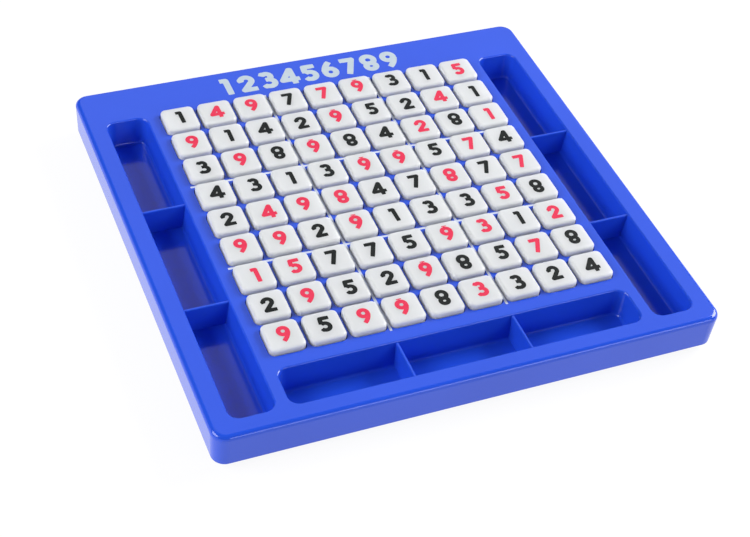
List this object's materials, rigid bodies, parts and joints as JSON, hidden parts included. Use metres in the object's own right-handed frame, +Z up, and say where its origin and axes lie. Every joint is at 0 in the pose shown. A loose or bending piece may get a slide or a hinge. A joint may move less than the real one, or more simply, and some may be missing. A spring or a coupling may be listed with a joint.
{
  "type": "sudoku board",
  "caption": "Flat moulded tray with a square grid of pockets holding loose number tiles, and divided storage troughs along its sides and front.",
  "frame": {"origin": "on the table, under the middle of the board", "axes": "+Z up, +X to the right along the front edge, +Y from the front edge to the back band"},
  "size_m": [0.25, 0.24, 0.025],
  "materials": {
    "tray_blue": "glossy blue moulded plastic",
    "tile_white": "smooth white moulded plastic",
    "ink_black": "black printing ink",
    "ink_red": "red printing ink",
    "print_white": "white printing ink"
  },
  "bodies": {
    "board": {"tray": "tray_blue"},
    "black_tile_row1_col1": {"black_tile_row1_col1": "tile_white"},
    "black_tile_row1_col4": {"black_tile_row1_col4": "tile_white"},
    "black_tile_row1_col7": {"black_tile_row1_col7": "tile_white"},
    "black_tile_row1_col8": {"black_tile_row1_col8": "tile_white"},
    "black_tile_row2_col2": {"black_tile_row2_col2": "tile_white"},
    "black_tile_row2_col3": {"black_tile_row2_col3": "tile_white"},
    "black_tile_row2_col4": {"black_tile_row2_col4": "tile_white"},
    "black_tile_row2_col6": {"black_tile_row2_col6": "tile_white"},
    "black_tile_row2_col7": {"black_tile_row2_col7": "tile_white"},
    "black_tile_row2_col9": {"black_tile_row2_col9": "tile_white"},
    "black_tile_row3_col1": {"black_tile_row3_col1": "tile_white"},
    "black_tile_row3_col3": {"black_tile_row3_col3": "tile_white"},
    "black_tile_row3_col5": {"black_tile_row3_col5": "tile_white"},
    "black_tile_row3_col6": {"black_tile_row3_col6": "tile_white"},
    "black_tile_row3_col8": {"black_tile_row3_col8": "tile_white"},
    "black_tile_row4_col1": {"black_tile_row4_col1": "tile_white"},
    "black_tile_row4_col2": {"black_tile_row4_col2": "tile_white"},
    "black_tile_row4_col3": {"black_tile_row4_col3": "tile_white"},
    "black_tile_row4_col4": {"black_tile_row4_col4": "tile_white"},
    "black_tile_row4_col7": {"black_tile_row4_col7": "tile_white"},
    "black_tile_row4_col9": {"black_tile_row4_col9": "tile_white"},
    "black_tile_row5_col1": {"black_tile_row5_col1": "tile_white"},
    "black_tile_row5_col5": {"black_tile_row5_col5": "tile_white"},
    "black_tile_row5_col6": {"black_tile_row5_col6": "tile_white"},
    "black_tile_row5_col8": {"black_tile_row5_col8": "tile_white"},
    "black_tile_row6_col3": {"black_tile_row6_col3": "tile_white"},
    "black_tile_row6_col5": {"black_tile_row6_col5": "tile_white"},
    "black_tile_row6_col6": {"black_tile_row6_col6": "tile_white"},
    "black_tile_row6_col7": {"black_tile_row6_col7": "tile_white"},
    "black_tile_row6_col9": {"black_tile_row6_col9": "tile_white"},
    "black_tile_row7_col3": {"black_tile_row7_col3": "tile_white"},
    "black_tile_row7_col4": {"black_tile_row7_col4": "tile_white"},
    "black_tile_row7_col5": {"black_tile_row7_col5": "tile_white"},
    "black_tile_row7_col8": {"black_tile_row7_col8": "tile_white"},
    "black_tile_row8_col1": {"black_tile_row8_col1": "tile_white"},
    "black_tile_row8_col3": {"black_tile_row8_col3": "tile_white"},
    "black_tile_row8_col4": {"black_tile_row8_col4": "tile_white"},
    "black_tile_row8_col6": {"black_tile_row8_col6": "tile_white"},
    "black_tile_row8_col7": {"black_tile_row8_col7": "tile_white"},
    "black_tile_row8_col9": {"black_tile_row8_col9": "tile_white"},
    "black_tile_row9_col2": {"black_tile_row9_col2": "tile_white"},
    "black_tile_row9_col5": {"black_tile_row9_col5": "tile_white"},
    "black_tile_row9_col7": {"black_tile_row9_col7": "tile_white"},
    "black_tile_row9_col8": {"black_tile_row9_col8": "tile_white"},
    "black_tile_row9_col9": {"black_tile_row9_col9": "tile_white"},
    "red_tiles_box1": {"red_tiles_box1": "tile_white"},
    "red_tiles_box2": {"red_tiles_box2": "tile_white"},
    "red_tiles_box3": {"red_tiles_box3": "tile_white"},
    "red_tiles_box4": {"red_tiles_box4": "tile_white"},
    "red_tiles_box5": {"red_tiles_box5": "tile_white"},
    "red_tiles_box6": {"red_tiles_box6": "tile_white"},
    "red_tiles_box7": {"red_tiles_box7": "tile_white"},
    "red_tiles_box8": {"red_tiles_box8": "tile_white"},
    "red_tiles_box9": {"red_tiles_box9": "tile_white"}
  },
  "joints": [
    {"name": "lift_row1_col1", "type": "slide", "parent": "board", "child": "black_tile_row1_col1", "axis": [0, 0, 1], "range_m": [0, 0.03]},
    {"name": "lift_row1_col4", "type": "slide", "parent": "board", "child": "black_tile_row1_col4", "axis": [0, 0, 1], "range_m": [0, 0.03]},
    {"name": "lift_row1_col7", "type": "slide", "parent": "board", "child": "black_tile_row1_col7", "axis": [0, 0, 1], "range_m": [0, 0.03]},
    {"name": "lift_row1_col8", "type": "slide", "parent": "board", "child": "black_tile_row1_col8", "axis": [0, 0, 1], "range_m": [0, 0.03]},
    {"name": "lift_row2_col2", "type": "slide", "parent": "board", "child": "black_tile_row2_col2", "axis": [0, 0, 1], "range_m": [0, 0.03]},
    {"name": "lift_row2_col3", "type": "slide", "parent": "board", "child": "black_tile_row2_col3", "axis": [0, 0, 1], "range_m": [0, 0.03]},
    {"name": "lift_row2_col4", "type": "slide", "parent": "board", "child": "black_tile_row2_col4", "axis": [0, 0, 1], "range_m": [0, 0.03]},
    {"name": "lift_row2_col6", "type": "slide", "parent": "board", "child": "black_tile_row2_col6", "axis": [0, 0, 1], "range_m": [0, 0.03]},
    {"name": "lift_row2_col7", "type": "slide", "parent": "board", "child": "black_tile_row2_col7", "axis": [0, 0, 1], "range_m": [0, 0.03]},
    {"name": "lift_row2_col9", "type": "slide", "parent": "board", "child": "black_tile_row2_col9", "axis": [0, 0, 1], "range_m": [0, 0.03]},
    {"name": "lift_row3_col1", "type": "slide", "parent": "board", "child": "black_tile_row3_col1", "axis": [0, 0, 1], "range_m": [0, 0.03]},
    {"name": "lift_row3_col3", "type": "slide", "parent": "board", "child": "black_tile_row3_col3", "axis": [0, 0, 1], "range_m": [0, 0.03]},
    {"name": "lift_row3_col5", "type": "slide", "parent": "board", "child": "black_tile_row3_col5", "axis": [0, 0, 1], "range_m": [0, 0.03]},
    {"name": "lift_row3_col6", "type": "slide", "parent": "board", "child": "black_tile_row3_col6", "axis": [0, 0, 1], "range_m": [0, 0.03]},
    {"name": "lift_row3_col8", "type": "slide", "parent": "board", "child": "black_tile_row3_col8", "axis": [0, 0, 1], "range_m": [0, 0.03]},
    {"name": "lift_row4_col1", "type": "slide", "parent": "board", "child": "black_tile_row4_col1", "axis": [0, 0, 1], "range_m": [0, 0.03]},
    {"name": "lift_row4_col2", "type": "slide", "parent": "board", "child": "black_tile_row4_col2", "axis": [0, 0, 1], "range_m": [0, 0.03]},
    {"name": "lift_row4_col3", "type": "slide", "parent": "board", "child": "black_tile_row4_col3", "axis": [0, 0, 1], "range_m": [0, 0.03]},
    {"name": "lift_row4_col4", "type": "slide", "parent": "board", "child": "black_tile_row4_col4", "axis": [0, 0, 1], "range_m": [0, 0.03]},
    {"name": "lift_row4_col7", "type": "slide", "parent": "board", "child": "black_tile_row4_col7", "axis": [0, 0, 1], "range_m": [0, 0.03]},
    {"name": "lift_row4_col9", "type": "slide", "parent": "board", "child": "black_tile_row4_col9", "axis": [0, 0, 1], "range_m": [0, 0.03]},
    {"name": "lift_row5_col1", "type": "slide", "parent": "board", "child": "black_tile_row5_col1", "axis": [0, 0, 1], "range_m": [0, 0.03]},
    {"name": "lift_row5_col5", "type": "slide", "parent": "board", "child": "black_tile_row5_col5", "axis": [0, 0, 1], "range_m": [0, 0.03]},
    {"name": "lift_row5_col6", "type": "slide", "parent": "board", "child": "black_tile_row5_col6", "axis": [0, 0, 1], "range_m": [0, 0.03]},
    {"name": "lift_row5_col8", "type": "slide", "parent": "board", "child": "black_tile_row5_col8", "axis": [0, 0, 1], "range_m": [0, 0.03]},
    {"name": "lift_row6_col3", "type": "slide", "parent": "board", "child": "black_tile_row6_col3", "axis": [0, 0, 1], "range_m": [0, 0.03]},
    {"name": "lift_row6_col5", "type": "slide", "parent": "board", "child": "black_tile_row6_col5", "axis": [0, 0, 1], "range_m": [0, 0.03]},
    {"name": "lift_row6_col6", "type": "slide", "parent": "board", "child": "black_tile_row6_col6", "axis": [0, 0, 1], "range_m": [0, 0.03]},
    {"name": "lift_row6_col7", "type": "slide", "parent": "board", "child": "black_tile_row6_col7", "axis": [0, 0, 1], "range_m": [0, 0.03]},
    {"name": "lift_row6_col9", "type": "slide", "parent": "board", "child": "black_tile_row6_col9", "axis": [0, 0, 1], "range_m": [0, 0.03]},
    {"name": "lift_row7_col3", "type": "slide", "parent": "board", "child": "black_tile_row7_col3", "axis": [0, 0, 1], "range_m": [0, 0.03]},
    {"name": "lift_row7_col4", "type": "slide", "parent": "board", "child": "black_tile_row7_col4", "axis": [0, 0, 1], "range_m": [0, 0.03]},
    {"name": "lift_row7_col5", "type": "slide", "parent": "board", "child": "black_tile_row7_col5", "axis": [0, 0, 1], "range_m": [0, 0.03]},
    {"name": "lift_row7_col8", "type": "slide", "parent": "board", "child": "black_tile_row7_col8", "axis": [0, 0, 1], "range_m": [0, 0.03]},
    {"name": "lift_row8_col1", "type": "slide", "parent": "board", "child": "black_tile_row8_col1", "axis": [0, 0, 1], "range_m": [0, 0.03]},
    {"name": "lift_row8_col3", "type": "slide", "parent": "board", "child": "black_tile_row8_col3", "axis": [0, 0, 1], "range_m": [0, 0.03]},
    {"name": "lift_row8_col4", "type": "slide", "parent": "board", "child": "black_tile_row8_col4", "axis": [0, 0, 1], "range_m": [0, 0.03]},
    {"name": "lift_row8_col6", "type": "slide", "parent": "board", "child": "black_tile_row8_col6", "axis": [0, 0, 1], "range_m": [0, 0.03]},
    {"name": "lift_row8_col7", "type": "slide", "parent": "board", "child": "black_tile_row8_col7", "axis": [0, 0, 1], "range_m": [0, 0.03]},
    {"name": "lift_row8_col9", "type": "slide", "parent": "board", "child": "black_tile_row8_col9", "axis": [0, 0, 1], "range_m": [0, 0.03]},
    {"name": "lift_row9_col2", "type": "slide", "parent": "board", "child": "black_tile_row9_col2", "axis": [0, 0, 1], "range_m": [0, 0.03]},
    {"name": "lift_row9_col5", "type": "slide", "parent": "board", "child": "black_tile_row9_col5", "axis": [0, 0, 1], "range_m": [0, 0.03]},
    {"name": "lift_row9_col7", "type": "slide", "parent": "board", "child": "black_tile_row9_col7", "axis": [0, 0, 1], "range_m": [0, 0.03]},
    {"name": "lift_row9_col8", "type": "slide", "parent": "board", "child": "black_tile_row9_col8", "axis": [0, 0, 1], "range_m": [0, 0.03]},
    {"name": "lift_row9_col9", "type": "slide", "parent": "board", "child": "black_tile_row9_col9", "axis": [0, 0, 1], "range_m": [0, 0.03]},
    {"name": "lift_red_box1", "type": "slide", "parent": "board", "child": "red_tiles_box1", "axis": [0, 0, 1], "range_m": [0, 0.03]},
    {"name": "lift_red_box2", "type": "slide", "parent": "board", "child": "red_tiles_box2", "axis": [0, 0, 1], "range_m": [0, 0.03]},
    {"name": "lift_red_box3", "type": "slide", "parent": "board", "child": "red_tiles_box3", "axis": [0, 0, 1], "range_m": [0, 0.03]},
    {"name": "lift_red_box4", "type": "slide", "parent": "board", "child": "red_tiles_box4", "axis": [0, 0, 1], "range_m": [0, 0.03]},
    {"name": "lift_red_box5", "type": "slide", "parent": "board", "child": "red_tiles_box5", "axis": [0, 0, 1], "range_m": [0, 0.03]},
    {"name": "lift_red_box6", "type": "slide", "parent": "board", "child": "red_tiles_box6", "axis": [0, 0, 1], "range_m": [0, 0.03]},
    {"name": "lift_red_box7", "type": "slide", "parent": "board", "child": "red_tiles_box7", "axis": [0, 0, 1], "range_m": [0, 0.03]},
    {"name": "lift_red_box8", "type": "slide", "parent": "board", "child": "red_tiles_box8", "axis": [0, 0, 1], "range_m": [0, 0.03]},
    {"name": "lift_red_box9", "type": "slide", "parent": "board", "child": "red_tiles_box9", "axis": [0, 0, 1], "range_m": [0, 0.03]}
  ]
}
